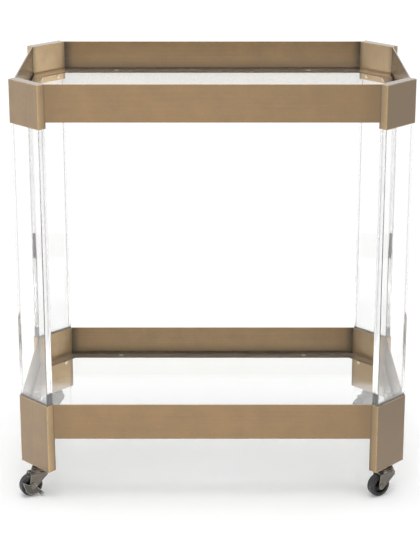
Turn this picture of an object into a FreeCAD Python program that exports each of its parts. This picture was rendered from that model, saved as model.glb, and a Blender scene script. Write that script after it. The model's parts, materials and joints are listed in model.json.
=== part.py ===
"""Bar cart: two brass trays with glass shelves, carried by acrylic posts on swivel casters.

Lengths are millimetres and angles degrees. X runs along the cart, Y from front to back and Z up.
The origin is on the floor, under the middle of the cart.
"""

import FreeCAD, Part
import math
import os
import re

import Sketcher

Vector = FreeCAD.Vector

# Driving dimensions
SIZES = {
    # Trays
    "overall_width": 760.0,  # across the corner sleeves
    "overall_depth": 440.0,  # across the corner sleeves
    "tray_spacing": 635.0,  # between the top edges of the two trays
    "rail_height": 72.0,
    "rail_thickness": 2.5,
    "rail_edge_round": 0.6,
    # Ledge, bumpers and glass
    "ledge_rise": 5.5,  # underside of the ledge above the lower edge of the rail
    "ledge_width": 20.0,
    "ledge_thickness": 2.0,
    "bumper_height": 1.0,
    "bumper_radius": 5.0,
    "bumper_offset": 200.0,  # to either side of the middle of a long rail
    "glass_thickness": 8.0,
    "glass_gap": 1.5,  # between the edge of the glass and the rails
    "glass_arris": 0.8,  # ground bevel along the edges
    # Posts and the sleeves that hold them
    "post_width": 82.0,
    "post_thickness": 15.0,
    "post_arris": 0.8,
    "post_fit": 0.15,  # between a post and the inside of its sleeve
    "sleeve_wall": 1.5,
    "sleeve_corner_round": 1.2,
    "sleeve_cap": 1.5,  # plate that closes an upper sleeve
    "sleeve_cap_round": 0.6,
    "upper_sleeve_drop": 12.0,  # below the lower edge of the upper rails
    "leg_drop": 68.0,  # lower sleeve below the lower edge of the lower rails
    "foot_block_height": 24.0,
    # Screws through the inner walls of the sleeves
    "screw_spacing": 46.0,
    "screw_radius": 2.0,
    "screw_bite": 9.0,  # length inside the post
    "screw_relief": 0.5,  # hole beyond the end of the screw
    "screw_fit": 0.1,
    "screw_head_radius": 4.0,
    "screw_head_height": 2.2,
    "screw_head_round": 1.2,
    "upper_screw_drop": 4.8,  # below the lower edge of the upper rails
    "lower_screw_drop": 8.0,  # below the lower edge of the lower rails
    # Caster stem and swivel
    "stem_radius": 5.0,
    "stem_fit": 0.1,
    "stem_relief": 4.0,  # between the end of the stem and the post
    "hex_height": 2.0,
    "hex_across_flats": 17.0,
    "flange_radius": 13.0,
    "flange_thickness": 2.0,
    "washer_radius": 12.0,
    "washer_thickness": 1.0,
    "swivel_gap": 0.2,  # running clearance above and below the fork's race
    "kingpin_radius": 4.0,
    "kingpin_fit": 0.06,
    "kingpin_head_radius": 6.5,
    "kingpin_head_height": 2.0,
    # Caster fork
    "trail": 18.0,  # axle behind the swivel axis
    "race_radius": 16.0,
    "race_height": 6.0,
    "race_bevel": 1.2,
    "race_step_radius": 14.4,  # upper ring of the race
    "race_step_height": 2.4,
    "crown_thickness": 2.5,
    "crown_gap": 1.3,  # between the tyre and the underside of the crown
    "fork_front": 14.0,  # crown ahead of the swivel axis
    "fork_back": 22.0,  # crown behind the swivel axis
    "fork_front_cheek": 5.0,  # leg below the crown, at its front edge
    "fork_back_cheek": 1.5,  # leg below the crown, at its back edge
    "fork_leg_thickness": 2.0,
    "fork_boss_radius": 7.0,
    "fork_bend_round": 3.0,
    "fork_rib": 1.6,  # raised border round the panel pressed into each leg
    "fork_panel_depth": 0.4,
    # Caster wheel and axle
    "wheel_radius": 22.5,
    "wheel_width": 18.0,
    "tyre_depth": 5.5,
    "tyre_round": 4.0,
    "tyre_fit": 0.05,
    "hub_boss_radius": 7.0,
    "hub_boss_length": 18.6,
    "hub_web": 6.0,
    "hub_rim": 3.0,
    "hub_rim_inset": 0.8,  # rim behind the side of the tyre
    "hub_side_gap": 0.3,  # between the hub and the legs of the fork
    "axle_radius": 3.0,
    "axle_fit": 0.05,
    "axle_head_radius": 5.5,
    "axle_head_height": 2.0,
    "axle_head_round": 1.2,
    # Brake lever
    "lever_thickness": 1.5,
    "lever_gap": 0.3,  # beside the leg of the fork, and under the axle's head
    "lever_fit": 0.06,
    "lever_hub_radius": 7.0,
    "lever_arm_angle": 225.0,
    "lever_arm_width": 8.0,
    "lever_tail_angle": 30.0,
    "lever_tail_reach": 26.0,
    "lever_tail_taper": 40.0,  # from the tip back to where the tail leaves the plate
    "pedal_overhang": 2.5,  # end of the arm beyond the tyre
    "pedal_depth": 9.0,
    "pedal_round": 1.5,
    # Way that each caster trails, from +X
    "front_left_heading": 208.0,
    "front_right_heading": 212.0,
    "back_left_heading": 225.0,
    "back_right_heading": 210.0,
}

# Sizes that follow from the driving ones
DERIVED = {
    "sleeve_width": "post_width + 2 * (post_fit + sleeve_wall)",
    "sleeve_thickness": "post_thickness + 2 * (post_fit + sleeve_wall)",
    "corner_cut": "sleeve_width * sqrt(0.5)",
    "corner_reach": "sleeve_thickness * sqrt(0.5) - sleeve_corner_round * (sqrt(2) - 1)",
    "inner_half_width": "overall_width / 2 - corner_reach",
    "inner_half_depth": "overall_depth / 2 - corner_reach",
    "post_face": "sleeve_wall + post_fit",
    "swivel_stack": "race_height + swivel_gap + washer_thickness + flange_thickness + hex_height",
    "crown_low": "2 * wheel_radius + crown_gap",
    "crown_top": "crown_low + crown_thickness",
    "caster_height": "crown_top + swivel_stack",
    "lower_rail_low": "caster_height + leg_drop",
    "upper_rail_low": "lower_rail_low + tray_spacing",
    "upper_sleeve_low": "upper_rail_low - upper_sleeve_drop",
    "upper_sleeve_height": "upper_sleeve_drop + rail_height",
    "lower_sleeve_height": "leg_drop + rail_height",
    "ledge_top": "ledge_rise + ledge_thickness",
    "glass_low": "ledge_top + bumper_height",
    "post_low": "caster_height + foot_block_height",
    "post_length": "upper_rail_low + rail_height - sleeve_cap - post_low",
    "screw_hole": "screw_radius + screw_fit",
    "hub_radius": "wheel_radius - tyre_depth",
    "fork_gap": "hub_boss_length + 2 * hub_side_gap",
    "fork_width": "fork_gap + 2 * fork_leg_thickness",
    "lever_stack": "lever_thickness + 2 * lever_gap",
    "lever_arm_reach": "wheel_radius + pedal_overhang",
}

# Each corner: which way it lies in X and Y, and the turn that points +Y out of the cart there
CORNERS = {
    "front_left": (-1, -1, 135),
    "front_right": (1, -1, -135),
    "back_left": (-1, 1, 45),
    "back_right": (1, 1, -45),
}
# Each side: the length of its rail, which way it lies in X and Y, and the turn that points +Y outwards
SIDES = {
    "front": ("2 * (inner_half_width - corner_cut)", 0, -1, 180),
    "back": ("2 * (inner_half_width - corner_cut)", 0, 1, 0),
    "left": ("2 * (inner_half_depth - corner_cut)", -1, 0, 90),
    "right": ("2 * (inner_half_depth - corner_cut)", 1, 0, -90),
}
BRAKED_CORNERS = ("front_left", "back_right")
TINY = 1e-6

doc = FreeCAD.newDocument("BarCart")
sheet = doc.addObject("Spreadsheet::Sheet", "Sizes")
nodes = []


def fill_sheet():
    """Writes the driving dimensions into the spreadsheet, one aliased cell each."""
    for row, (name, size) in enumerate(SIZES.items(), start=1):
        sheet.set(f"A{row}", name)
        sheet.set(f"B{row}", str(size))
        sheet.setAlias(f"B{row}", name)
    doc.recompute()


def tied(text):
    """The expression with its size names turned into references to the sheet."""

    def reference(match):
        word = match.group()
        if word in DERIVED:
            return f"({tied(DERIVED[word])})"
        return f"Sizes.{word}" if word in SIZES else word

    return re.sub(r"[A-Za-z_]\w*", reference, text)


def number(text):
    """The present value of an expression in size names."""
    return float(sheet.evalExpression(tied(text)))


# Sketches


def new_sketch(body, role, name):
    """A sketch on one of the body's origin planes."""
    sketch = body.newObject("Sketcher::SketchObject", f"{body.Name}_{name}")
    plane = next(item for item in body.Origin.OriginFeatures if item.Role == role)
    sketch.AttachmentSupport = [(plane, "")]
    sketch.MapMode = "FlatFace"
    return sketch


def bind(sketch, kind, text, *geometry):
    """Adds a dimension that follows an expression."""
    index = sketch.addConstraint(Sketcher.Constraint(kind, *geometry, number(text)))
    sketch.setExpression(f"Constraints[{index}]", tied(text))


def fix(sketch, element, end, across, up):
    """Ties a point of the sketch to its two coordinates; None leaves one free."""
    for kind, text, axis in (("DistanceX", across, -2), ("DistanceY", up, -1)):
        if text is None:
            continue
        if abs(number(text)) < TINY:
            sketch.addConstraint(Sketcher.Constraint("PointOnObject", element, end, axis))
        else:
            bind(sketch, kind, text, -1, 1, element, end)


def join(sketch, *elements):
    """Joins the end of each element to the start of the next, round to the first."""
    for element, following in zip(elements, elements[1:] + elements[:1]):
        sketch.addConstraint(Sketcher.Constraint("Coincident", element, 2, following, 1))


def add_polygon(sketch, corners):
    """A closed straight-sided outline; each corner is a pair of expressions."""
    points = [Vector(number(across), number(up), 0) for across, up in corners]
    lines = []
    for start, end in zip(points, points[1:] + points[:1]):
        lines.append(sketch.addGeometry(Part.LineSegment(start, end)))
    join(sketch, *lines)
    for line, (across, up) in zip(lines, corners):
        fix(sketch, line, 1, across, up)


def add_rectangle(sketch, left, right, low, high):
    """An upright rectangle between four expressions."""
    add_polygon(sketch, [(left, low), (right, low), (right, high), (left, high)])


def add_circle(sketch, across, up, radius):
    """A circle of the given centre and radius."""
    centre = Vector(number(across), number(up), 0)
    circle = sketch.addGeometry(Part.Circle(centre, Vector(0, 0, 1), number(radius)))
    bind(sketch, "Radius", radius, circle)
    fix(sketch, circle, 3, across, up)


# Features


def extrude(body, kind, sketch, length, flip=False, both_ways=False):
    """A Pad or Pocket of the sketch; both_ways centres it on the sketch."""
    feature = body.newObject(f"PartDesign::{kind}", f"{sketch.Name}_{kind.lower()}")
    feature.Profile = sketch
    feature.SideType = "Symmetric" if both_ways else "One side"
    feature.Reversed = flip
    feature.setExpression("Length", tied(length))
    doc.recompute()
    return feature


def revolve(body, sketch):
    """A full turn of the sketch about its own vertical axis."""
    feature = body.newObject("PartDesign::Revolution", f"{sketch.Name}_turned")
    feature.Profile = sketch
    feature.ReferenceAxis = (sketch, ["V_Axis"])
    feature.Angle = 360
    doc.recompute()
    return feature


def dress(body, kind, property_name, wanted, size):
    """A Fillet or Chamfer on those edges of the body's tip that the test picks."""
    tip = body.Tip
    names = [f"Edge{i}" for i, edge in enumerate(tip.Shape.Edges, start=1) if wanted(edge)]
    feature = body.newObject(f"PartDesign::{kind}", f"{tip.Name}_{kind.lower()}")
    feature.Base = (tip, names)
    feature.setExpression(property_name, tied(size))
    doc.recompute()


def round_edges(body, wanted, radius):
    """Rounds the edges that the test picks."""
    dress(body, "Fillet", "Radius", wanted, radius)


def bevel_edges(body, wanted, size):
    """Bevels the edges that the test picks."""
    dress(body, "Chamfer", "Size", wanted, size)


def is_upright(edge):
    """True for an edge that runs straight up."""
    return edge.BoundBox.XLength < TINY and edge.BoundBox.YLength < TINY


def is_level(edge):
    """True for an edge that lies in one horizontal plane."""
    return edge.BoundBox.ZLength < TINY


def runs_along(edge):
    """True for a straight edge along X."""
    return edge.BoundBox.YLength < TINY and edge.BoundBox.ZLength < TINY


def is_near(value, text):
    """True where a coordinate equals an expression."""
    return abs(value - number(text)) < TINY


# Placing and naming


def new_body(label):
    """An empty body with its own label."""
    body = doc.addObject("PartDesign::Body", label)
    body.Label = label
    return body


def place(body, across, back, up, turn):
    """Ties a piece's place, and its turn about the vertical, to expressions."""
    body.Placement = FreeCAD.Placement(Vector(), FreeCAD.Rotation(Vector(0, 0, 1), number(turn)))
    for axis, text in zip("xyz", (across, back, up)):
        body.setExpression(f"Placement.Base.{axis}", tied(text))
    body.setExpression("Placement.Rotation.Angle", tied(turn))


def at_side(body, side, up):
    """Puts a piece at the inner face of a rail, with +Y pointing out of the cart."""
    length, right, back, turn = SIDES[side]
    place(body, f"{right} * inner_half_width", f"{back} * inner_half_depth", up, str(turn))


def corner_point(corner, along="0", outward="0"):
    """A point given from the middle of a sleeve's inner face, along it and outwards."""
    right, back, turn = CORNERS[corner]
    across = f"{right} * (inner_half_width - corner_cut / 2)"
    across += f" + ({along}) * cos({turn}) - ({outward}) * sin({turn})"
    behind = f"{back} * (inner_half_depth - corner_cut / 2)"
    behind += f" + ({along}) * sin({turn}) + ({outward}) * cos({turn})"
    return across, behind


def at_corner(body, corner, up, along="0"):
    """Puts a piece at a sleeve's inner face, with +Y pointing out of the cart."""
    across, back = corner_point(corner, along)
    place(body, across, back, up, str(CORNERS[corner][2]))


def at_caster(body, corner, up="0", behind="0"):
    """Puts a piece on a caster's swivel axis, or behind it, with +X pointing the way it trails."""
    across, back = corner_point(corner, outward="sleeve_thickness / 2")
    heading = f"{corner}_heading"
    across += f" + ({behind}) * cos({heading})"
    back += f" + ({behind}) * sin({heading})"
    place(body, across, back, up, heading)


def keep(*bodies, label=None):
    """Notes a piece for writing; several like pieces make one group under the label."""
    if label is None:
        nodes.extend(bodies)
        return
    group = doc.addObject("Part::Compound", label)
    group.Label = label
    group.Links = list(bodies)
    nodes.append(group)


# Trays


def make_rail(tray, side, low):
    """A flat bar whose ends are mitred to lie against the sleeves."""
    body = new_body(f"{tray}_rail_{side}")
    half = f"{SIDES[side][0]} / 2"
    plan = new_sketch(body, "XY_Plane", "plan")
    outer = f"{half} + rail_thickness"
    corners = [(f"-({half})", "0"), (half, "0"), (outer, "rail_thickness"), (f"-({outer})", "rail_thickness")]
    add_polygon(plan, corners)
    extrude(body, "Pad", plan, "rail_height")
    round_edges(body, runs_along, "rail_edge_round")
    at_side(body, side, low)
    keep(body)


def make_ledge_strip(name, length):
    """One strip of the ledge, with its long edge on the wall and its ends cut to meet its neighbours."""
    body = new_body(name)
    half = f"({length}) / 2"
    short = f"({half} - ledge_width * tan(22.5))"
    plan = new_sketch(body, "XY_Plane", "plan")
    corners = [(f"-{half}", "0"), (f"-{short}", "-ledge_width"), (short, "-ledge_width"), (half, "0")]
    add_polygon(plan, corners)
    extrude(body, "Pad", plan, "ledge_thickness")
    return body


def make_ledge(tray, low):
    """The ledge that the glass lies on, along every rail and across every sleeve."""
    level = f"{low} + ledge_rise"
    strips = []
    for side, (length, right, back, turn) in SIDES.items():
        strip = make_ledge_strip(f"{tray}_ledge_{side}", length)
        at_side(strip, side, level)
        strips.append(strip)
    for corner in CORNERS:
        strip = make_ledge_strip(f"{tray}_ledge_{corner}", "sleeve_width")
        at_corner(strip, corner, level)
        strips.append(strip)
    keep(*strips, label=f"{tray}_ledge")


def make_bumpers(tray, low):
    """Clear pads between the ledge and the glass."""
    across = "(inner_half_width - ledge_width / 2)"
    back = "(inner_half_depth - ledge_width / 2)"
    places = [(f"{right} * {across}", "0") for right in (-1, 1)]
    places += [(f"{right} * bumper_offset", f"{behind} * {back}") for right in (-1, 1) for behind in (-1, 1)]
    pads = []
    for count, (x, y) in enumerate(places, start=1):
        body = new_body(f"{tray}_bumper_{count}")
        plan = new_sketch(body, "XY_Plane", "plan")
        add_circle(plan, "0", "0", "bumper_radius")
        extrude(body, "Pad", plan, "bumper_height")
        place(body, x, y, f"{low} + ledge_top", "0")
        pads.append(body)
    keep(*pads, label=f"{tray}_glass_bumpers")


def make_glass(tray, low):
    """A glass shelf with cut corners and ground edges."""
    body = new_body(f"{tray}_glass_shelf")
    half_width = "(inner_half_width - glass_gap)"
    half_depth = "(inner_half_depth - glass_gap)"
    plan = new_sketch(body, "XY_Plane", "plan")
    add_rectangle(plan, f"-{half_width}", half_width, f"-{half_depth}", half_depth)
    extrude(body, "Pad", plan, "glass_thickness")
    bevel_edges(body, is_upright, "corner_cut - glass_gap * (2 - sqrt(2))")
    bevel_edges(body, is_level, "glass_arris")
    place(body, "0", "0", f"{low} + glass_low", "0")
    keep(body)


# Corners


def make_sleeve(tray, corner, low, height, screw_level):
    """A flat box sleeve; an upper one is closed by a plate, a lower one is open right through."""
    body = new_body(f"{tray}_sleeve_{corner}")
    half = "sleeve_width / 2"
    outside = new_sketch(body, "XY_Plane", "outside")
    add_rectangle(outside, f"-{half}", half, "0", "sleeve_thickness")
    extrude(body, "Pad", outside, height)
    round_edges(body, is_upright, "sleeve_corner_round")
    socket_depth = height
    if tray == "upper":

        def is_cap_edge(edge):
            return is_level(edge) and is_near(edge.BoundBox.ZMax, height)

        round_edges(body, is_cap_edge, "sleeve_cap_round")
        socket_depth = f"{height} - sleeve_cap"
    socket = new_sketch(body, "XY_Plane", "socket")
    reach = "(post_width / 2 + post_fit)"
    add_rectangle(socket, f"-{reach}", reach, "sleeve_wall", "sleeve_thickness - sleeve_wall")
    extrude(body, "Pocket", socket, socket_depth, flip=True)
    cut_screw_holes(body, [screw_level], "post_face")
    at_corner(body, corner, low)
    keep(body)


def cut_screw_holes(body, levels, depth):
    """Pairs of screw holes from the inner face outwards."""
    holes = new_sketch(body, "XZ_Plane", "holes")
    for level in levels:
        for along in ("-screw_spacing / 2", "screw_spacing / 2"):
            add_circle(holes, along, level, "screw_hole")
    extrude(body, "Pocket", holes, depth)


def make_post(corner):
    """A clear slab that stands on the foot block and carries the cap of the upper sleeve."""
    body = new_body(f"post_{corner}")
    plan = new_sketch(body, "XY_Plane", "plan")
    add_rectangle(plan, "-post_width / 2", "post_width / 2", "post_face", "post_face + post_thickness")
    extrude(body, "Pad", plan, "post_length")
    bevel_edges(body, is_upright, "post_arris")
    levels = ["lower_rail_low - lower_screw_drop - post_low", "upper_rail_low - upper_screw_drop - post_low"]
    cut_screw_holes(body, levels, "post_face + screw_bite + screw_relief")
    at_corner(body, corner, "post_low")
    keep(body)


def make_screws(tray, level):
    """Pan-headed screws, two for each sleeve."""

    def is_rim(edge):
        return is_near(edge.BoundBox.YMax, "-screw_head_height")

    screws = []
    for corner in CORNERS:
        for count, along in enumerate(("-screw_spacing / 2", "screw_spacing / 2"), start=1):
            body = new_body(f"{tray}_screw_{corner}_{count}")
            profile = new_sketch(body, "XY_Plane", "profile")
            tip = "post_face + screw_bite"
            outline = [("0", "-screw_head_height"), ("screw_head_radius", "-screw_head_height")]
            outline += [("screw_head_radius", "0"), ("screw_radius", "0"), ("screw_radius", tip), ("0", tip)]
            add_polygon(profile, outline)
            revolve(body, profile)
            round_edges(body, is_rim, "screw_head_round")
            at_corner(body, corner, level, along)
            screws.append(body)
    keep(*screws, label=f"{tray}_sleeve_screws")


def make_foot_block(corner):
    """The block in the bottom of a lower sleeve, tapped for the caster's stem."""
    body = new_body(f"foot_block_{corner}")
    plan = new_sketch(body, "XY_Plane", "plan")
    add_rectangle(plan, "-post_width / 2", "post_width / 2", "post_face", "post_face + post_thickness")
    extrude(body, "Pad", plan, "foot_block_height")
    bevel_edges(body, is_upright, "post_arris")
    bore = new_sketch(body, "XY_Plane", "bore")
    add_circle(bore, "0", "sleeve_thickness / 2", "stem_radius + stem_fit")
    extrude(body, "Pocket", bore, "foot_block_height", flip=True)
    at_corner(body, corner, "caster_height")
    keep(body)


# Casters


def make_stem(corner):
    """Stem, hexagon, flange and headed kingpin; it hangs from the foot block."""
    body = new_body(f"caster_stem_{corner}")
    profile = new_sketch(body, "XZ_Plane", "profile")
    top = "foot_block_height - stem_relief"
    flange_low = "-(hex_height + flange_thickness)"
    crown_under = "crown_low - caster_height - swivel_gap"
    foot = f"{crown_under} - kingpin_head_height"
    outline = [("0", top), ("stem_radius", top), ("stem_radius", "-hex_height")]
    outline += [("flange_radius", "-hex_height"), ("flange_radius", flange_low)]
    outline += [("kingpin_radius", flange_low), ("kingpin_radius", crown_under)]
    outline += [("kingpin_head_radius", crown_under)]
    outline += [("kingpin_head_radius", foot), ("0", foot)]
    add_polygon(profile, outline)
    revolve(body, profile)
    hexagon = new_sketch(body, "XY_Plane", "hexagon")
    reach = "hex_across_flats / sqrt(3)"
    add_polygon(hexagon, [(f"{reach} * cos({turn})", f"{reach} * sin({turn})") for turn in range(0, 360, 60)])
    extrude(body, "Pad", hexagon, "hex_height", flip=True)
    at_caster(body, corner, "caster_height")
    keep(body)


def make_washers():
    """Thrust washers between the stems' flanges and the forks' races."""
    washers = []
    for corner in CORNERS:
        body = new_body(f"thrust_washer_{corner}")
        plan = new_sketch(body, "XY_Plane", "plan")
        add_circle(plan, "0", "0", "washer_radius")
        add_circle(plan, "0", "0", "kingpin_radius + kingpin_fit")
        extrude(body, "Pad", plan, "washer_thickness")
        at_caster(body, corner, "caster_height - hex_height - flange_thickness - washer_thickness")
        washers.append(body)
    keep(*washers, label="thrust_washers")


def tangent_angle(point, centre, radius, way):
    """Where a line from the point touches a circle, as an angle about its centre."""
    offset = point - centre
    swing = math.acos(radius / offset.Length)
    return math.atan2(offset.y, offset.x) + way * swing


def add_fork_side(sketch, top, inset="0"):
    """Side outline of the fork: flat at the top, with a leg that narrows to a round end at the axle."""
    front = f"{inset} - fork_front"
    back = f"fork_back - {inset}"
    boss = f"fork_boss_radius - {inset}"
    front_low = (front, f"crown_low - fork_front_cheek + {inset}")
    back_low = (back, f"crown_low - fork_back_cheek - {inset}")
    front_top = (front, top)
    back_top = (back, top)
    ends = [Vector(number(x), number(z), 0) for x, z in (front_top, front_low, back_low, back_top)]
    centre = Vector(number("trail"), number("wheel_radius"), 0)
    radius = number(boss)
    start = tangent_angle(ends[1], centre, radius, 1)
    finish = tangent_angle(ends[2], centre, radius, -1)
    round_end = Part.ArcOfCircle(Part.Circle(centre, Vector(0, 0, 1), radius), start, finish)
    shapes = [Part.LineSegment(ends[0], ends[1]), Part.LineSegment(ends[1], round_end.StartPoint), round_end]
    shapes += [Part.LineSegment(round_end.EndPoint, ends[2]), Part.LineSegment(ends[2], ends[3])]
    shapes.append(Part.LineSegment(ends[3], ends[0]))
    front_edge, front_leg, arc, back_leg, back_edge, crown = [sketch.addGeometry(shape) for shape in shapes]
    sketch.addConstraint(Sketcher.Constraint("Tangent", front_leg, 2, arc, 1))
    sketch.addConstraint(Sketcher.Constraint("Tangent", arc, 2, back_leg, 1))
    corners = ((front_edge, front_leg), (back_leg, back_edge), (back_edge, crown), (crown, front_edge))
    for first, second in corners:
        sketch.addConstraint(Sketcher.Constraint("Coincident", first, 2, second, 1))
    fix(sketch, front_edge, 1, *front_top)
    fix(sketch, front_leg, 1, *front_low)
    fix(sketch, back_edge, 1, *back_low)
    fix(sketch, crown, 1, *back_top)
    bind(sketch, "Radius", boss, arc)
    fix(sketch, arc, 3, "trail", "wheel_radius")


def press_panels(body):
    """A shallow panel in the outer face of each leg, which leaves a raised border."""
    for name, outward, flip in (("far", "fork_width / 2", False), ("near", "-fork_width / 2", True)):
        panel = new_sketch(body, "XZ_Plane", f"{name}_panel")
        panel.setExpression("AttachmentOffset.Base.z", tied(outward))
        add_fork_side(panel, "crown_low - fork_rib", "fork_rib")
        extrude(body, "Pocket", panel, "fork_panel_depth", flip=flip)


def make_fork(corner):
    """Stamped fork: crown, two tapered legs and the race that turns on the kingpin."""
    body = new_body(f"caster_fork_{corner}")
    side = new_sketch(body, "XZ_Plane", "side")
    add_fork_side(side, "crown_top")
    extrude(body, "Pad", side, "fork_width", both_ways=True)

    def is_bend(edge):
        return runs_along(edge) and is_near(edge.BoundBox.ZMax, "crown_top")

    round_edges(body, is_bend, "fork_bend_round")
    press_panels(body)
    slot = new_sketch(body, "XZ_Plane", "slot")
    add_rectangle(slot, "-2 * fork_front", "2 * (trail + fork_boss_radius)", "0", "crown_low")
    extrude(body, "Pocket", slot, "fork_gap", both_ways=True)
    race = new_sketch(body, "XZ_Plane", "race")
    low = "crown_low + crown_thickness / 4"
    high = "crown_top + race_height"
    edge_in = "race_radius - race_bevel"
    step = f"{high} - race_step_height"
    outline = [("0", low), (edge_in, low), ("race_radius", f"{low} + race_bevel")]
    outline += [("race_radius", f"{step} - race_bevel"), (edge_in, step), ("race_step_radius", step)]
    outline += [("race_step_radius", high), ("0", high)]
    add_polygon(race, outline)
    revolve(body, race)
    pin_hole = new_sketch(body, "XY_Plane", "pin_hole")
    add_circle(pin_hole, "0", "0", "kingpin_radius + kingpin_fit")
    extrude(body, "Pocket", pin_hole, high, flip=True)
    axle_hole = new_sketch(body, "XZ_Plane", "axle_hole")
    add_circle(axle_hole, "trail", "wheel_radius", "axle_radius + axle_fit")
    extrude(body, "Pocket", axle_hole, "2 * fork_width", both_ways=True)
    at_caster(body, corner)
    keep(body)


def make_axle(corner):
    """Axle with a rounded head at each end; on a braked caster it also carries the lever."""
    body = new_body(f"caster_axle_{corner}")
    profile = new_sketch(body, "XY_Plane", "profile")
    far = "-fork_width / 2"
    near = "fork_width / 2 + lever_stack" if corner in BRAKED_CORNERS else "fork_width / 2"
    far_end = f"{far} - axle_head_height"
    near_end = f"{near} + axle_head_height"
    outline = [("0", far_end), ("axle_head_radius", far_end), ("axle_head_radius", far)]
    outline += [("axle_radius", far), ("axle_radius", near), ("axle_head_radius", near)]
    outline += [("axle_head_radius", near_end), ("0", near_end)]
    add_polygon(profile, outline)
    revolve(body, profile)

    def is_rim(edge):
        box = edge.BoundBox
        return box.YLength < TINY and (is_near(box.YMax, far_end) or is_near(box.YMax, near_end))

    round_edges(body, is_rim, "axle_head_round")
    at_caster(body, corner, "wheel_radius", "trail")
    keep(body)


def make_hub(corner):
    """Dished hub: a boss on the axle, a thin web and a rim under the tyre."""
    body = new_body(f"caster_hub_{corner}")
    profile = new_sketch(body, "XY_Plane", "profile")
    rim_half = "(wheel_width / 2 - hub_rim_inset)"
    rim_in = "hub_radius - hub_rim"
    bore = "axle_radius + axle_fit"
    half = [(bore, "hub_boss_length / 2"), ("hub_boss_radius", "hub_boss_length / 2")]
    half += [("hub_boss_radius", "hub_web / 2"), (rim_in, "hub_web / 2")]
    half += [(rim_in, rim_half), ("hub_radius", rim_half)]
    mirrored = [(across, f"-{up}") for across, up in reversed(half)]
    add_polygon(profile, half + mirrored)
    revolve(body, profile)
    at_caster(body, corner, "wheel_radius", "trail")
    keep(body)


def make_tyre(corner):
    """Tyre with a rounded tread."""
    body = new_body(f"caster_tyre_{corner}")
    profile = new_sketch(body, "XY_Plane", "profile")
    add_rectangle(profile, "hub_radius + tyre_fit", "wheel_radius", "-wheel_width / 2", "wheel_width / 2")
    revolve(body, profile)

    def is_tread_edge(edge):
        return edge.BoundBox.YLength < TINY and is_near(edge.BoundBox.XMax, "wheel_radius")

    round_edges(body, is_tread_edge, "tyre_round")
    at_caster(body, corner, "wheel_radius", "trail")
    keep(body)


def on_ray(reach, angle):
    """A point of the brake lever, given by its distance from the axle and its angle."""
    return f"({reach}) * cos({angle})", f"({reach}) * sin({angle})"


def on_arm(reach, aside):
    """A point of the brake lever, given along its arm and to one side of it."""
    across = f"({reach}) * cos(lever_arm_angle) - ({aside}) * sin(lever_arm_angle)"
    up = f"({reach}) * sin(lever_arm_angle) + ({aside}) * cos(lever_arm_angle)"
    return across, up


def add_arm_stretch(sketch, start, finish):
    """A stretch of the lever's arm, at its full width."""
    half = "lever_arm_width / 2"
    low_side = [on_arm(reach, f"-{half}") for reach in (start, finish)]
    high_side = [on_arm(reach, half) for reach in (finish, start)]
    add_polygon(sketch, low_side + high_side)


def add_lever_tail(sketch):
    """The lever's tail: a pointed horn that stands out past the plate."""
    root = on_ray("hub_radius", "lever_tail_angle - lever_tail_taper")
    add_polygon(sketch, [("0", "0"), root, on_ray("lever_tail_reach", "lever_tail_angle")])


def add_lever_plate(sketch):
    """The lever's plate: a sector from the arm round under the axle to the tail."""
    radius = number("hub_radius")
    start = math.radians(number("lever_arm_angle"))
    finish = math.radians(number("lever_tail_angle")) + 2 * math.pi
    rim = Part.ArcOfCircle(Part.Circle(Vector(), Vector(0, 0, 1), radius), start, finish)
    down = sketch.addGeometry(Part.LineSegment(Vector(), rim.StartPoint))
    arc = sketch.addGeometry(rim)
    home = sketch.addGeometry(Part.LineSegment(rim.EndPoint, Vector()))
    join(sketch, down, arc, home)
    sketch.addConstraint(Sketcher.Constraint("Coincident", down, 1, -1, 1))
    sketch.addConstraint(Sketcher.Constraint("Coincident", arc, 3, -1, 1))
    bind(sketch, "Radius", "hub_radius", arc)
    fix(sketch, arc, 1, "hub_radius * cos(lever_arm_angle)", None)
    fix(sketch, arc, 2, None, "hub_radius * sin(lever_tail_angle)")


def make_brake_lever(corner):
    """Stamped lever on the axle, outside the fork, with its end folded outwards as a pedal."""
    body = new_body(f"brake_lever_{corner}")
    outlines = {
        "plate": add_lever_plate,
        "boss": lambda sketch: add_circle(sketch, "0", "0", "lever_hub_radius"),
        "tail": add_lever_tail,
        "arm": lambda sketch: add_arm_stretch(sketch, "0", "lever_arm_reach"),
    }
    for name, draw in outlines.items():
        outline = new_sketch(body, "XZ_Plane", name)
        draw(outline)
        extrude(body, "Pad", outline, "lever_thickness", flip=True)
    pedal = new_sketch(body, "XZ_Plane", "pedal")
    add_arm_stretch(pedal, "lever_arm_reach - lever_thickness", "lever_arm_reach")
    extrude(body, "Pad", pedal, "pedal_depth", flip=True)

    def is_pedal_corner(edge):
        box = edge.BoundBox
        return is_near(box.YMin, "pedal_depth") and is_near(edge.Length, "lever_thickness")

    round_edges(body, is_pedal_corner, "pedal_round")
    hole = new_sketch(body, "XZ_Plane", "hole")
    add_circle(hole, "0", "0", "axle_radius + lever_fit")
    extrude(body, "Pocket", hole, "lever_thickness")
    across, back = corner_point(corner, outward="sleeve_thickness / 2")
    heading = f"{corner}_heading"
    aside = "(fork_width / 2 + lever_gap)"
    across += f" + trail * cos({heading}) - {aside} * sin({heading})"
    back += f" + trail * sin({heading}) + {aside} * cos({heading})"
    place(body, across, back, "wheel_radius", heading)
    keep(body)


# The whole cart


def make_tray(tray, low, sleeve_low, sleeve_height, screw_drop):
    """One tray, with its sleeves and screws."""
    for side in SIDES:
        make_rail(tray, side, low)
    make_ledge(tray, low)
    make_bumpers(tray, low)
    make_glass(tray, low)
    screw_level = f"{low} - {screw_drop}"
    for corner in CORNERS:
        make_sleeve(tray, corner, sleeve_low, sleeve_height, f"{screw_level} - ({sleeve_low})")
    make_screws(tray, screw_level)


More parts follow.
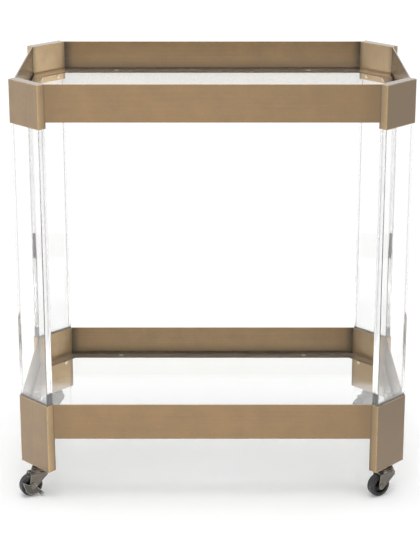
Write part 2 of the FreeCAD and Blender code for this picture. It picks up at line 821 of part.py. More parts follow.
def make_cart():
    """All the pieces, from the trays down to the casters."""
    make_tray("upper", "upper_rail_low", "upper_sleeve_low", "upper_sleeve_height", "upper_screw_drop")
    make_tray("lower", "lower_rail_low", "caster_height", "lower_sleeve_height", "lower_screw_drop")
    make_washers()
    for corner in CORNERS:
        make_post(corner)
        make_foot_block(corner)
        make_stem(corner)
        make_fork(corner)
        make_axle(corner)
        make_hub(corner)
        make_tyre(corner)
    for corner in BRAKED_CORNERS:
        make_brake_lever(corner)
    doc.recompute()


def check_pieces():
    """Stops if any feature failed or any piece isn't a sound solid."""
    failed = [item.Name for item in doc.Objects if {"Invalid", "Error"} & set(item.State)]
    if failed:
        raise RuntimeError(f"features failed: {failed}")
    for node in nodes:
        shape = node.Shape
        if shape.isNull() or not shape.isValid() or not shape.Solids:
            raise RuntimeError(f"{node.Label} isn't a sound solid")


def write_pieces():
    """Writes each piece to its own file."""
    os.makedirs("parts", exist_ok=True)
    for node in nodes:
        node.Shape.exportStep(f"parts/{node.Label}.step")


fill_sheet()
make_cart()
check_pieces()
write_pieces()
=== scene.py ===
"""Bar cart: its finishes, bumpers, screws and tyres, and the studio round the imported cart."""

import json
import math

import bmesh
import bpy
from bpy.props import FloatProperty, FloatVectorProperty, PointerProperty
from mathutils import Matrix, Vector


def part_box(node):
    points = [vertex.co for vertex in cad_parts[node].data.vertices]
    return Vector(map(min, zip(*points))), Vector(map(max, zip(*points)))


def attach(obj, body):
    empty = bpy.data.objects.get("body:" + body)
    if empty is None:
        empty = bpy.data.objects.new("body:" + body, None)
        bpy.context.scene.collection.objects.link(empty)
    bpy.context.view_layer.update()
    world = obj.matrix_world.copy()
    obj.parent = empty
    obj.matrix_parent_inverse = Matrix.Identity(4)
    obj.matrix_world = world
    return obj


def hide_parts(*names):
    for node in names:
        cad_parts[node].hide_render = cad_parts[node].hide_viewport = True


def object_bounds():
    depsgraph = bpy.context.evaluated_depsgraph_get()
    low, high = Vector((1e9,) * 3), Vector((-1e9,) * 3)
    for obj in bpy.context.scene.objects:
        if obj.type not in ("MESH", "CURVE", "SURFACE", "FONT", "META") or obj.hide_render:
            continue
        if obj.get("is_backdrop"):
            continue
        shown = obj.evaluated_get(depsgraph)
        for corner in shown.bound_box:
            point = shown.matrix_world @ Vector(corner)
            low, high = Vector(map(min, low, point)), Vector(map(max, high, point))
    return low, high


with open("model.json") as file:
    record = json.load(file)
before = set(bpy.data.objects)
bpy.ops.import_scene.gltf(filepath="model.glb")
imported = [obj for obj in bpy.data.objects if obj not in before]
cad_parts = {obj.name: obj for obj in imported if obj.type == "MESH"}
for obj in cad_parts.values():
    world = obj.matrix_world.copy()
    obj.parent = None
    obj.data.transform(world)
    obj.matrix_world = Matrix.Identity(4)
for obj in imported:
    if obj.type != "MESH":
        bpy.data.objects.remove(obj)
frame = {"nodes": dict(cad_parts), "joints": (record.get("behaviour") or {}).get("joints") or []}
CAD_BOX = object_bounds()

bl_info = {
    "name": "Bar Cart",
    "version": (1, 0, 0),
    "blender": (4, 5, 0),
    "location": "View3D > Sidebar > Bar Cart",
    "description": "Finishes, bumpers, screws, tyres and studio of a two-tier bar cart",
    "category": "Object",
}

FRAME_BODY = "cart_frame"
TIERS = ("upper", "lower")
# Each corner, and which way it lies in X and Y
CORNERS = {
    "front_left": (-1, -1),
    "front_right": (1, -1),
    "back_left": (-1, 1),
    "back_right": (1, 1),
}
BRAKED_CORNERS = ("front_left", "back_right")
JOINTS = {joint["name"]: joint for joint in frame["joints"]}

ACROSS, DEEP, UPRIGHT = range(3)
UP = Vector((0.0, 0.0, 1.0))
# Out of the back right corner, and along the sleeve there
OUT_OF_CORNER = Vector((1.0, 1.0, 0.0)).normalized()
ALONG_CORNER = Vector((1.0, -1.0, 0.0)).normalized()
# Above this the pieces belong to the upper tray
HALF_HEIGHT = CAD_BOX[1].z / 2
WHITE = (1.0, 1.0, 1.0, 1.0)

# How finely the modelled pieces are divided
SCREW_SIDES = 32
HEAD_STEPS = 6
RIM_STEPS = 3
SHOULDER_STEPS = 8
TYRE_SIDES = 72
# Angles in radians: faces that lie in one plane, faces that meet in a rim, edges that stay sharp
FLAT_ANGLE = 0.01
RIM_ANGLE = 1.0
SHARP_ANGLE = math.radians(30)
# Vertices nearer than this are one, in a modelled piece and in a copy of a CAD piece
WELD = 1e-7
CAD_WELD = 1e-6
# The curved part of a screw head's height, and the floor of its recess against the mouth
HEAD_CURVE = 0.7
RECESS_TAPER = 0.75

# Noise in the finishes, in bumps to the metre: for brushing, across the lines and along them
PATINA_CLOUDS = 24.0
PATINA_SPECKS = 150.0
PLAIN_LINES = 420.0
PLAIN_STREAKS = 60.0
BRUSHED_LINES = (1500.0, 12.0)
BRUSHED_STREAKS = (320.0, 4.0)
WEAR_BREAKS = 160.0
WIPING_SMEARS = 9.0
WIPING_DOTS = 700.0
RUBBER_PORES = 2600.0
DUST_CLOUDS = 70.0
TURNING_MARKS = 1800.0
TARNISH_CLOUDS = 180.0

# What each kind of noise counts for in the shade of the patina
CLOUD_WEIGHT = 1.6
SPECK_WEIGHT = 0.6
STREAK_WEIGHT = 0.9
LINE_WEIGHT = 0.5
# How far the mottling changes red, green and blue
MOTTLED_PARTS = (1.0, 0.75, 0.4)
# A layer over the patina, such as painted light, painted shade or the pedals' bare steel: its even part,
# and the part that follows the mottling
LAYER_EVEN = 0.75
LAYER_MOTTLED = 0.5
# Roughness that noise and scuffs add, and that rubbing takes away
PATINA_SHEEN = 0.08
EDGE_SHEEN = 0.08
SCUFF_SHEEN = 0.4
# Strength of the relief of metal and of turning marks, and its depth in metres
METAL_RELIEF = 0.07
TURNED_RELIEF = 0.15
GRAIN_DEPTH = 0.0002
TURNED_DEPTH = 0.0001

# Clear sheets: the tint of smears, the painted shade of edges, and the dots' part of the roughness
SMEAR_TINT = 0.985
EDGE_SHADE_TINT = 0.4
DOT_SHEEN = 0.5

# Dust on rubber and plastic: how much lies in clouds and in pores, and the roughness of pores and dust
CLOUD_DUST = 0.5
PORE_DUST = 0.3
PORE_SHEEN = 0.2
DUST_SHEEN = 0.1

# Turned steel: its clean and tarnished tint, its roughness, and what tarnish and marks add to that
CLEAN_TINT = 1.15
TARNISHED_TINT = 0.7
TURNED_ROUGHNESS = 0.3
TARNISH_SHEEN = 0.15
MARK_SHEEN = 0.15

# A count of bounces below this is none
NO_BOUNCE = 0.5
# Where the right of the studio starts to dim and is dimmest: in the sky's directions, and in metres
SKY_DIMS = (0.1, 0.9)
FLOOR_DIMS = (0.2, 0.9)


def number(name, description, default, **kind):
    """A number, with its unit, subtype or limits as the kind."""
    return FloatProperty(name=name, description=description, default=default, **kind)


def length(name, description, metres):
    return number(name, description, metres, unit="LENGTH", precision=5)


def share(name, description, part):
    """A number from 0 to 1."""
    return number(name, description, part, min=0, max=1, subtype="FACTOR")


def angle(name, description, degrees):
    return number(name, description, math.radians(degrees), subtype="ANGLE")


def colour(name, description, default):
    """A linear colour."""
    return FloatVectorProperty(
        name=name, description=description, default=default, size=3, min=0, max=1, subtype="COLOR"
    )


class CartSizes(bpy.types.PropertyGroup):
    """Sizes of the pieces that are modelled here, and of the detail in the finishes."""

    head_height: length("Screw head", "Height of a screw head", 0.0022)
    head_flat: length("Screw flat", "Radius of the flat on a screw head", 0.0031)
    shank_radius: length("Screw shank", "Radius of a screw below its head", 0.002)
    recess_span: length("Recess span", "Half the span of the cross recess", 0.0022)
    recess_width: length("Recess width", "Half the width of its arms", 0.0005)
    recess_depth: length("Recess depth", "Depth of the cross recess", 0.0013)
    bumper_round: length("Bumper rim", "Radius of the rims of the bumpers", 0.0003)
    bumper_clearance: length("Bumper clearance", "From a bumper to glass and ledge", 0.00003)
    tyre_round: length("Tyre shoulder", "Radius of the tyre's shoulders", 0.004)
    tyre_seam: length("Tyre seam", "Height of the mould seam round the tread", 0.00015)
    tyre_step: length("Tyre step", "Depth of the step in a tyre's side", 0.0005)
    lever_plate: length("Lever plate", "Thickness of the brake levers", 0.0015)
    race_height: length("Race", "Height of the race on top of a fork", 0.006)
    race_step: length("Race step", "Height of the upper ring of the race", 0.0024)
    # Painted shade under the sleeves reaches this far below the race and below its upper ring
    crown_shade: length("Crown grease", "How far grease reaches below a race", 0.0015)
    race_shade: length("Race grease", "How far it reaches below its upper ring", 0.0005)
    rail_wear: length("Rail wear", "How far the patina reaches from a rail's edges", 0.0012)
    # The rubbed brass at the sleeves' edges is also a painted highlight
    sleeve_wear_highlight: length("Sleeve wear", "How far rubbed brass reaches from a sleeve's edges", 0.0035)
    # Painted shade reaches this far from a ledge's edges
    ledge_shade_reach: length("Ledge wear", "How far the patina reaches from a ledge's edges", 0.002)
    # The rubbed bronze at the casters' edges is also a painted highlight
    caster_wear_highlight: length("Caster wear", "How far rubbed bronze reaches from a caster's edges", 0.0012)
    lever_wear: length("Lever wear", "How far bare steel reaches from a lever's edges", 0.0024)
    # Painted shade: the stains and lines below darken the rails' ends, the corners beside the sleeves, the
    # inside of the sleeves, the sleeves' ends beside the rails and the rails just above the glass
    end_shade: length("End stain", "How far dark patina reaches from a rail's ends", 0.045)
    corner_shade: length("Corner stain", "How far it reaches inside, beside a sleeve", 0.022)
    sleeve_corner_shade: length("Sleeve stain", "How far it reaches inside a sleeve from the rails", 0.012)
    joint_shade: length("Joint stain", "How far it reaches on a sleeve's end from the rail", 0.007)
    joint_shade_line: length("Joint line", "How far the darkest reaches from a rail's ends", 0.005)
    shelf_shade: length("Shelf stain", "How far dark patina reaches up from the glass", 0.022)
    shelf_shade_line: length("Shelf line", "How far the darkest reaches up from the glass", 0.0025)
    ledge_width: length("Ledge width", "From the wall to the free edge of the ledges", 0.02)
    # The painted light on the ledges fades in over this width
    ledge_fade: length("Ledge fade", "Width over which the ledge lightens across a sleeve", 0.004)
    # Painted shade along the posts' edges
    post_edge_shade: length("Post edge", "How far the darker edges of the posts reach", 0.0045)
    polish_top: length("Polish top", "Height to which the posts are polished", 0.36)
    polish_fade: length("Polish fade", "Height over which that polish fades", 0.08)
    shelf_polish: length("Shelf polish", "How far past the middle the lower shelf is polished", 0.01)
    shelf_fade: length("Shelf fade", "Depth over which that polish fades", 0.03)
    sleeve_wall: length("Sleeve wall", "Thickness of the sleeves' walls", 0.0015)
    sleeve_skin: length("Sleeve skin", "Depth that counts as a wall's face", 0.00105)


class CartColours(bpy.types.PropertyGroup):
    """Colours of the finishes, among them painted light and painted shade."""

    rail_brass: colour("Rail brass", "Antique brass of the rails", (0.315, 0.198, 0.092))
    sleeve_brass: colour("Sleeve brass", "Antique brass of the sleeves", (0.295, 0.198, 0.108))
    # Painted light: this lighter brass brightens the inside of the long rails, the sleeves' inner faces and
    # the ledges across the sleeves
    painted_light_brass: colour("Inner brass", "Lighter brass inside the trays", (0.72, 0.505, 0.285))
    # Painted highlight on the sleeves' ends, brightest at their outer edges
    end_highlight_brass: colour("Polished brass", "Brass that hands polish", (0.6, 0.41, 0.2))
    shaded_brass: colour("Shaded brass", "Brass inside the trays' ends", (0.172, 0.128, 0.094))
    # Painted shade: this dark brass darkens the corners, the joints, the hollows, the line along the glass,
    # the ledges' edges and the right side; it also darkens the rails' edges
    painted_shade_brass: colour("Dark brass", "Patina left in the corners", (0.075, 0.055, 0.036))
    ledge_brass: colour("Ledge brass", "Antique brass of the ledges", (0.47, 0.4, 0.315))
    # Rubbed brass at the sleeves' edges, which is also a painted highlight along those edges
    rubbed_highlight_brass: colour("Rubbed brass", "Brass with the finish rubbed off", (0.72, 0.52, 0.27))
    screw_brass: colour("Screw brass", "Bright brass of the screws", (0.95, 0.86, 0.7))
    # Dark bronze that paints the shade under the sleeves, on the stems and on the tops of the forks
    stem_shade_bronze: colour("Oiled bronze", "Bronze of the caster stems", (0.06, 0.042, 0.03))
    acrylic: colour("Acrylic", "Clear acrylic of the posts", (0.985, 0.985, 0.98))
    glass: colour("Glass", "Clear glass of the shelves", (0.975, 0.99, 0.98))
    vinyl: colour("Vinyl", "Milky vinyl of the bumpers", (0.88, 0.87, 0.82))
    foot_metal: colour("Foot metal", "Sawn aluminium of the foot blocks", (0.3, 0.3, 0.29))
    bronze: colour("Bronze", "Antique bronze of the casters", (0.135, 0.117, 0.092))
    lever_bronze: colour("Lever bronze", "Bronze of the brake levers", (0.085, 0.073, 0.06))
    # Rubbed bronze at the casters' edges, which is also a painted highlight and glint along those edges
    rubbed_highlight_bronze: colour("Rubbed bronze", "Bronze with the finish rubbed off", (0.55, 0.49, 0.4))
    foot_worn: colour("Foot-worn steel", "Bare steel of the pedals", (0.75, 0.74, 0.72))
    steel: colour("Steel", "Plated steel of the axles", (0.2, 0.18, 0.155))
    hub_plastic: colour("Hub plastic", "Plastic of the wheel hubs", (0.022, 0.021, 0.021))
    tyre_rubber: colour("Tyre rubber", "Rubber of the tyres", (0.011, 0.0105, 0.011))
    dust: colour("Dust", "Dust in the texture of the tyres", (0.05, 0.047, 0.049))
    floor: colour("Floor", "Pale studio floor", (0.9, 0.9, 0.9))


class CartPaintedLightAndShade(bpy.types.PropertyGroup):
    """How strongly each painted light and painted shade shows."""

    # Painted light inside the long rails, and painted shade inside the short rails
    long_inside_light: share("Long rails", "Lighter brass inside the long rails", 0.1)
    short_inside_shade: share("Short rails", "Shaded brass inside the short rails", 0.9)
    # Painted shade darkens the rails and sleeves towards the right side
    rail_right_shade: share("Right rails", "Darker rails at the right", 0.12)
    sleeve_right_shade: share("Right sleeves", "Darker sleeves at the right", 0.3)
    # Painted shade: the stains and lines below darken the rails' ends, the inner corners and the line along
    # the glass
    end_shade: share("End stain", "Dark patina near a rail's ends", 0.2)
    joint_shade_line: share("Joint line", "Darkest patina at a rail's ends", 0.45)
    corner_shade: share("Corner stain", "Dark patina inside, beside a sleeve", 0.85)
    shelf_shade: share("Shelf stain", "Dark patina above the glass", 0.4)
    shelf_shade_line: share("Shelf line", "Darkest patina along the glass", 0.85)
    # Painted shade on the ledges' edges
    ledge_edge_shade: share("Ledge edge", "Dark patina on a ledge's edges", 0.9)
    # Painted light on the ledges across the sleeves
    lower_ledge: share("Lower ledge", "Lighter ledge across the lower sleeves", 0.25)
    upper_ledge: share("Upper ledge", "Lighter ledge across the upper sleeves", 0.9)
    # Painted light on the sleeves' inner faces
    lower_sleeve: share("Lower sleeves", "Lighter brass inside the lower sleeves", 0.6)
    upper_sleeve: share("Upper sleeves", "Lighter brass inside the upper sleeves", 1.0)
    # Painted shade inside the sleeves, beside the rails
    sleeve_corner_shade: share("Sleeve stain", "Dark patina inside a sleeve, beside the rails", 0.5)
    # Painted shade in the hollows, lighter in their outer half, which faces the light
    hollow_outer: share("Outer hollow", "Patina missing from the outer half of a hollow", 0.6)
    # Painted highlight on a sleeve's end, growing from its inner edge to its outer edge
    end_highlight_in: share("Inner end polish", "Polish on a sleeve's end, at its inner edge", 0.25)
    end_highlight_out: share("Outer end polish", "Polish on a sleeve's end, at its outer edge", 0.75)
    # Painted shade on a sleeve's end, beside the rail
    joint_shade: share("Joint stain", "Dark patina on a sleeve's end, beside the rail", 0.5)
    # Painted shade on the race and on its upper ring
    crown_shade: share("Crown grease", "Grease on the race of a fork", 0.45)
    race_shade: share("Race grease", "Grease on the upper ring of the race", 0.85)


class CartStudio(bpy.types.PropertyGroup):
    """Light, floor and camera."""

    sky: share("Sky", "Light that the surroundings throw on the cart", 0.5)
    lamp: number("Lamp", "Strength of the lamp", 1.55, min=0)
    lamp_spread: angle("Lamp spread", "Angle that the soft lamp fills", 40.0)
    lamp_lean: number("Lamp lean", "How far the light leans to the back, for 1 down", 0.06)
    dim_side: share("Dim side", "How bright the studio's right is in a mirror", 0.72)
    floor_glow: share("Floor glow", "Light that the floor itself adds where it is seen", 0.22)
    floor_reach: length("Floor reach", "From the middle of the floor to its edge", 30.0)
    camera_back: length("Camera distance", "Camera in front of the middle of the cart", 3.095)
    camera_up: length("Camera height", "Camera above the floor", 1.466)
    camera_pitch: angle("Camera pitch", "How far the camera looks down", 16.3)
    camera_lens: number("Lens", "Focal length in millimetres", 103.5, unit="CAMERA")
    camera_shift_x: number("Shift across", "Lens shift sideways", -0.0043, subtype="FACTOR")
    camera_shift_y: number("Shift up", "Lens shift upwards", -0.15, subtype="FACTOR")


class Signal:
    """A socket of a shader tree. Sums and products of signals add Math nodes."""

    def __init__(self, tree, socket=None):
        self.tree = tree
        self.socket = socket

    def node(self, kind, inputs=None, output=0, stops=None, **settings):
        """Adds a node: first its settings and ramp stops, then the values or links of its sockets."""
        made = self.tree.nodes.new(kind)
        for name, value in settings.items():
            setattr(made, name, value)
        if stops:
            elements = made.color_ramp.elements
            for _ in range(len(stops) - len(elements)):
                elements.new(1.0)
            for element, (position, level) in zip(elements, stops):
                element.position = position
                element.color = (level, level, level, 1.0)
        for name, value in (inputs or {}).items():
            if isinstance(value, Signal):
                self.tree.links.new(value.socket, made.inputs[name])
            else:
                made.inputs[name].default_value = value
        return Signal(self.tree, made.outputs[output] if made.outputs else None)

    def other(self, output):
        """Another output of the same node."""
        return Signal(self.tree, self.socket.node.outputs[output])

    def maths(self, operation, first, second):
        return self.node("ShaderNodeMath", {0: first, 1: second}, operation=operation)

    def __add__(self, other):
        return self.maths("ADD", self, other)

    def __radd__(self, other):
        return self.maths("ADD", other, self)

    def __sub__(self, other):
        return self.maths("SUBTRACT", self, other)

    def __rsub__(self, other):
        return self.maths("SUBTRACT", other, self)

    def __mul__(self, other):
        return self.maths("MULTIPLY", self, other)

    def __rmul__(self, other):
        return self.maths("MULTIPLY", other, self)

    def larger(self, other):
        return self.maths("MAXIMUM", self, other)

    def smaller(self, other):
        return self.maths("MINIMUM", self, other)

    def size(self):
        """The signal without its sign."""
        return self.maths("ABSOLUTE", self, 0.0)

    def above(self, level):
        return self.maths("GREATER_THAN", self, level)

    def below(self, level):
        return self.maths("LESS_THAN", self, level)

    def fade(self, start, end):
        """Eases from 0 to 1 as the signal goes from start to end."""
        inputs = {"Value": self, "From Min": start, "From Max": end}
        return self.node("ShaderNodeMapRange", inputs, interpolation_type="SMOOTHSTEP")

    def ramp(self, *stops):
        """The signal bent through stops, each a position and the level there."""
        return self.node("ShaderNodeValToRGB", {"Fac": self}, stops=stops)

    def between(self, low, high):
        """The colour from low to high that the signal picks."""
        return self.node("ShaderNodeMix", {0: self, 6: low, 7: high}, output=2, data_type="RGBA")

    def along(self, direction):
        """How far a vector reaches along a direction."""
        return self.node(
            "ShaderNodeVectorMath", {0: self, 1: direction}, output="Value", operation="DOT_PRODUCT"
        )


# Finishes


def new_finish(name):
    """A material with an empty tree, and the signal that its nodes start from."""
    material = bpy.data.materials.new(name)
    material.use_nodes = True
    material.node_tree.nodes.clear()
    return material, Signal(material.node_tree)


def show(start, shader):
    start.node("ShaderNodeOutputMaterial", {"Surface": shader})


def show_surface(start, sockets):
    """Ends the tree in one shader with these sockets."""
    show(start, start.node("ShaderNodeBsdfPrincipled", sockets))


def solid(tone, factor=1.0):
    """A colour for a socket, made lighter or darker."""
    return (*(min(1.0, part * factor) for part in tone), 1.0)


def noise(start, scale, detail=2.0, stretch=(1.0, 1.0, 1.0)):
    """Noise on the piece's own coordinates, scale being in bumps to the metre."""
    place = start.node("ShaderNodeTexCoord", output="Object")
    place = start.node("ShaderNodeMapping", {"Vector": place, "Scale": stretch})
    return start.node("ShaderNodeTexNoise", {"Vector": place, "Scale": scale, "Detail": detail})


def brushing(start, axis, scales):
    """Lines along one axis, the scales being across and along them."""
    across, along = scales
    stretch = [1.0, 1.0, 1.0]
    stretch[axis] = along / across
    return noise(start, across, detail=3.0, stretch=stretch)


def relief(start, height, strength, depth):
    """A normal that follows the height."""
    return start.node("ShaderNodeBump", {"Strength": strength, "Distance": depth, "Height": height})


def facing(start):
    """The way that the surface faces."""
    return start.node("ShaderNodeNewGeometry", output="Normal")


def sharp_edges(start, radius):
    """1 at the edges of the piece and 0 on its faces."""
    rounded = start.node("ShaderNodeBevel", {"Radius": radius}, samples=6)
    return (1 - rounded.along(facing(start))).ramp((0.01, 0.0), (0.12, 1.0))


def antique_metal(
    name,
    tone,
    rubbed,
    axis=None,
    roughness=0.32,
    mottle=0.12,
    wear=0.6,
    radius=0.0012,
    lacquer=1.0,
    layers=(),
    scuffs=None,
    grain=1.0,
):
    """Lacquered aged metal: mottled patina, brushed lines along an axis, and edges rubbed back.

    The layers are functions that each give a mask, with the colour that shows through it; most paint light
    or shade.
    Scuffs is a function that gives a mask of where the metal has gone dull. The rubbed colour at the
    edges is wear, and on the sleeves and casters also a painted highlight.
    """
    material, start = new_finish(name)
    clouds = noise(start, PATINA_CLOUDS, detail=3.0) - 0.5
    specks = noise(start, PATINA_SPECKS) - 0.5
    if axis is None:
        lines = noise(start, PLAIN_LINES, detail=3.0)
        streaks = noise(start, PLAIN_STREAKS) - 0.5
    else:
        lines = brushing(start, axis, BRUSHED_LINES)
        streaks = brushing(start, axis, BRUSHED_STREAKS) - 0.5
    shade = 0.5 + clouds * CLOUD_WEIGHT + specks * SPECK_WEIGHT
    shade = shade + streaks * STREAK_WEIGHT + (lines - 0.5) * LINE_WEIGHT
    warm = [part * (1 + reach * mottle) for part, reach in zip(tone, MOTTLED_PARTS)]
    olive = [part * (1 - reach * mottle) for part, reach in zip(tone, MOTTLED_PARTS)]
    face = shade.between(solid(olive), solid(warm))
    for mask, under in layers:
        cover = mask(start) * (LAYER_EVEN + shade * LAYER_MOTTLED)
        face = cover.smaller(1.0).between(face, solid(under))
    breaks = noise(start, WEAR_BREAKS, detail=3.0).ramp((0.35, 0.25), (0.6, 1.0))
    # Edges take the rubbed colour: wear, and on the sleeves and casters also a painted highlight
    edge = sharp_edges(start, radius) * breaks * wear
    sheen = roughness + ((lines - 0.5) + clouds) * (PATINA_SHEEN * grain) - edge * EDGE_SHEEN
    if scuffs:
        sheen = sheen + scuffs(start) * SCUFF_SHEEN
    sockets = {
        "Base Color": edge.between(face, solid(rubbed)),
        "Metallic": 1.0,
        "Roughness": sheen,
        "Normal": relief(start, lines, METAL_RELIEF * grain, GRAIN_DEPTH),
        "Coat Weight": lacquer,
        "Coat Roughness": 0.2,
    }
    show_surface(start, sockets)
    return material


def clear_sheet(name, tone, index, clearness, roughness, polish=None, edge_shade_radius=None):
    """A clear sheet with faint wiping marks. What isn't clear in it is a white haze.

    Polish is a function that gives the weight of a hard polish, which mirrors more than the sheet does.
    Edges within the edge radius are darker, a painted shade.
    """
    material, start = new_finish(name)
    smears = noise(start, WIPING_SMEARS, detail=4.0, stretch=(1.0, 1.0, 0.5))
    smears = smears.ramp((0.4, 0.0), (0.75, 1.0))
    dots = noise(start, WIPING_DOTS, detail=1.0) - 0.5
    base = smears.between(solid(tone), solid(tone, SMEAR_TINT))
    if edge_shade_radius:
        base = sharp_edges(start, edge_shade_radius).between(base, solid(tone, EDGE_SHADE_TINT))
    sockets = {
        "Base Color": base,
        "Roughness": roughness + smears * roughness + dots * (DOT_SHEEN * roughness),
        "IOR": index,
        "Transmission Weight": clearness,
        "Coat Weight": polish(start) if polish else 0.0,
        "Coat IOR": 2.1,
    }
    show_surface(start, sockets)
    return material


def moulded(name, tone, dust, roughness, grain, gloss):
    """Moulded rubber or plastic with a fine grain and dust lying in it."""
    material, start = new_finish(name)
    pores = noise(start, RUBBER_PORES)
    clouds = noise(start, DUST_CLOUDS, detail=3.0).ramp((0.42, 0.0), (0.75, 1.0))
    film = clouds * CLOUD_DUST + pores.ramp((0.5, 0.0), (0.8, 1.0)) * PORE_DUST
    sockets = {
        "Base Color": film.between(solid(tone), solid(dust)),
        "Roughness": roughness + (pores - 0.5) * PORE_SHEEN + film * DUST_SHEEN,
        "Normal": relief(start, pores, grain, GRAIN_DEPTH),
        "Specular IOR Level": gloss,
    }
    show_surface(start, sockets)
    return material


def turned_steel(name, tone):
    """Plated steel with fine turning marks and a little tarnish."""
    material, start = new_finish(name)
    marks = noise(start, TURNING_MARKS)
    tarnish = noise(start, TARNISH_CLOUDS, detail=3.0).ramp((0.4, 0.0), (0.7, 1.0))
    sockets = {
        "Base Color": tarnish.between(solid(tone, CLEAN_TINT), solid(tone, TARNISHED_TINT)),
        "Metallic": 1.0,
        "Roughness": TURNED_ROUGHNESS + tarnish * TARNISH_SHEEN + (marks - 0.5) * MARK_SHEEN,
        "Normal": relief(start, marks, TURNED_RELIEF, TURNED_DEPTH),
    }
    show_surface(start, sockets)
    return material


def dress(finish, *names):
    """Gives CAD pieces a finish, and leaves their shape alone."""
    for name in names:
        for slot in frame["nodes"][name].material_slots:
            slot.material = finish


# Masks


def place_of(start):
    """The X, Y and Z of the piece's own coordinates."""
    place = start.node("ShaderNodeTexCoord", output="Object")
    across = start.node("ShaderNodeSeparateXYZ", {"Vector": place})
    return across, across.other("Y"), across.other("Z")


def upright_faces(start):
    """1 on upright faces and 0 on level ones."""
    level = start.node("ShaderNodeSeparateXYZ", {"Vector": facing(start)}, output="Z")
    return 1 - level.size()


def right_shade_ramp(start):
    """0 at the middle of the cart and 1 at its right side, where painted shade darkens the metal."""
    return place_of(start)[ACROSS].fade(0.0, CAD_BOX[1].x)


def by_tray(start, lower, upper):
    """One number on the lower tray and another on the upper one."""
    return lower + place_of(start)[UPRIGHT].above(HALF_HEIGHT) * (upper - lower)


def out_of_corner(start):
    """How far out of the cart a point lies, square to the nearest sleeve."""
    place = place_of(start)
    return (place[ACROSS].size() + place[DEEP].size()) * math.sqrt(0.5)


def along_corner(start):
    """How far along the nearest sleeve a point lies, as at the back right."""
    place = place_of(start)
    return (place[ACROSS].size() - place[DEEP].size()) * math.sqrt(0.5)


def seen(start):
    """1 for rays that show a surface, directly or in metal and glass, and 0 for rays that light one."""
    ray = start.node("ShaderNodeLightPath", output="Is Camera Ray")
    shown = ray.larger(ray.other("Is Glossy Ray")).larger(ray.other("Is Transmission Ray"))
    return shown * ray.other("Diffuse Depth").below(NO_BOUNCE)


def mirrored(start):
    """1 for rays that a face mirrors and that haven't gone through a clear piece."""
    ray = start.node("ShaderNodeLightPath", output="Is Glossy Ray")
    return ray * ray.other("Transmission Depth").below(NO_BOUNCE)


# Modelling


def spread(name, direction, keep=None):
    """Lowest and highest reach of a CAD piece along a direction."""
    points = [vert.co for vert in frame["nodes"][name].data.vertices]
    reaches = [point.dot(direction) for point in points if not keep or keep(point)]
    return min(reaches), max(reaches)


def new_piece(name, shape, finish):
    """An object at the origin from a bmesh whose place is in its mesh, smooth but for sharp edges."""
    bmesh.ops.remove_doubles(shape, verts=shape.verts, dist=WELD)
    bmesh.ops.recalc_face_normals(shape, faces=shape.faces)
    mesh = bpy.data.meshes.new(name)
    shape.to_mesh(mesh)
    shape.free()
    mesh.shade_smooth()
    mesh.set_sharp_from_angle(angle=SHARP_ANGLE)
    mesh.materials.append(finish)
    piece = bpy.data.objects.new(name, mesh)
    bpy.context.scene.collection.objects.link(piece)
    return piece


def closed_ring(shape, points):
    """Vertices at the points, and the edges of the ring that they make."""
    verts = [shape.verts.new(point) for point in points]
    return verts, [shape.edges.new(pair) for pair in zip(verts, verts[1:] + verts[:1])]


def extrude_ring(shape, ring, scale, drop):
    """Carries an edge ring on: scaled about Z and moved down. Returns the new ring."""
    made = bmesh.ops.extrude_edge_only(shape, edges=ring)["geom"]
    verts = [item for item in made if isinstance(item, bmesh.types.BMVert)]
    bmesh.ops.scale(shape, vec=(scale, scale, 1.0), verts=verts)
    bmesh.ops.translate(shape, vec=(0.0, 0.0, -drop), verts=verts)
    return [edge for edge in shape.edges if edge.verts[0] in verts and edge.verts[1] in verts]


def cross_outline(shape, span, width):
    """The outline of a cross recess, as a closed ring of edges."""
    arm = ((span, -width, 0.0), (span, width, 0.0), (width, width, 0.0))
    turns = [Matrix.Rotation(quarter * math.pi / 2, 3, "Z") for quarter in range(4)]
    return closed_ring(shape, [turn @ Vector(corner) for turn in turns for corner in arm])[1]


def screw_shape(sizes, head_radius, whole_length):
    """A pan-head screw with a cross recess, its head up and the top of its head at the origin."""
    shape = bmesh.new()
    bmesh.ops.create_circle(shape, segments=SCREW_SIDES, radius=sizes.head_flat)
    rim = list(shape.edges)
    cross = cross_outline(shape, sizes.recess_span, sizes.recess_width)
    bmesh.ops.triangle_fill(shape, edges=rim + cross, use_beauty=True, normal=UP)
    floor = extrude_ring(shape, cross, RECESS_TAPER, sizes.recess_depth)
    bmesh.ops.triangle_fill(shape, edges=floor, use_beauty=True, normal=UP)
    # The side of the head is a quarter of an ellipse, and then upright
    fall = sizes.head_height * HEAD_CURVE
    radius = sizes.head_flat
    low = 0.0
    for step in range(1, HEAD_STEPS + 1):
        turn = step / HEAD_STEPS * math.pi / 2
        next_radius = sizes.head_flat + (head_radius - sizes.head_flat) * math.sin(turn)
        next_low = fall * (1 - math.cos(turn))
        rim = extrude_ring(shape, rim, next_radius / radius, next_low - low)
        radius, low = next_radius, next_low
    rim = extrude_ring(shape, rim, 1.0, sizes.head_height - fall)
    rim = extrude_ring(shape, rim, sizes.shank_radius / head_radius, 0.0)
    rim = extrude_ring(shape, rim, 1.0, whole_length - sizes.head_height)
    bmesh.ops.triangle_fill(shape, edges=rim, use_beauty=True, normal=-UP)
    return shape


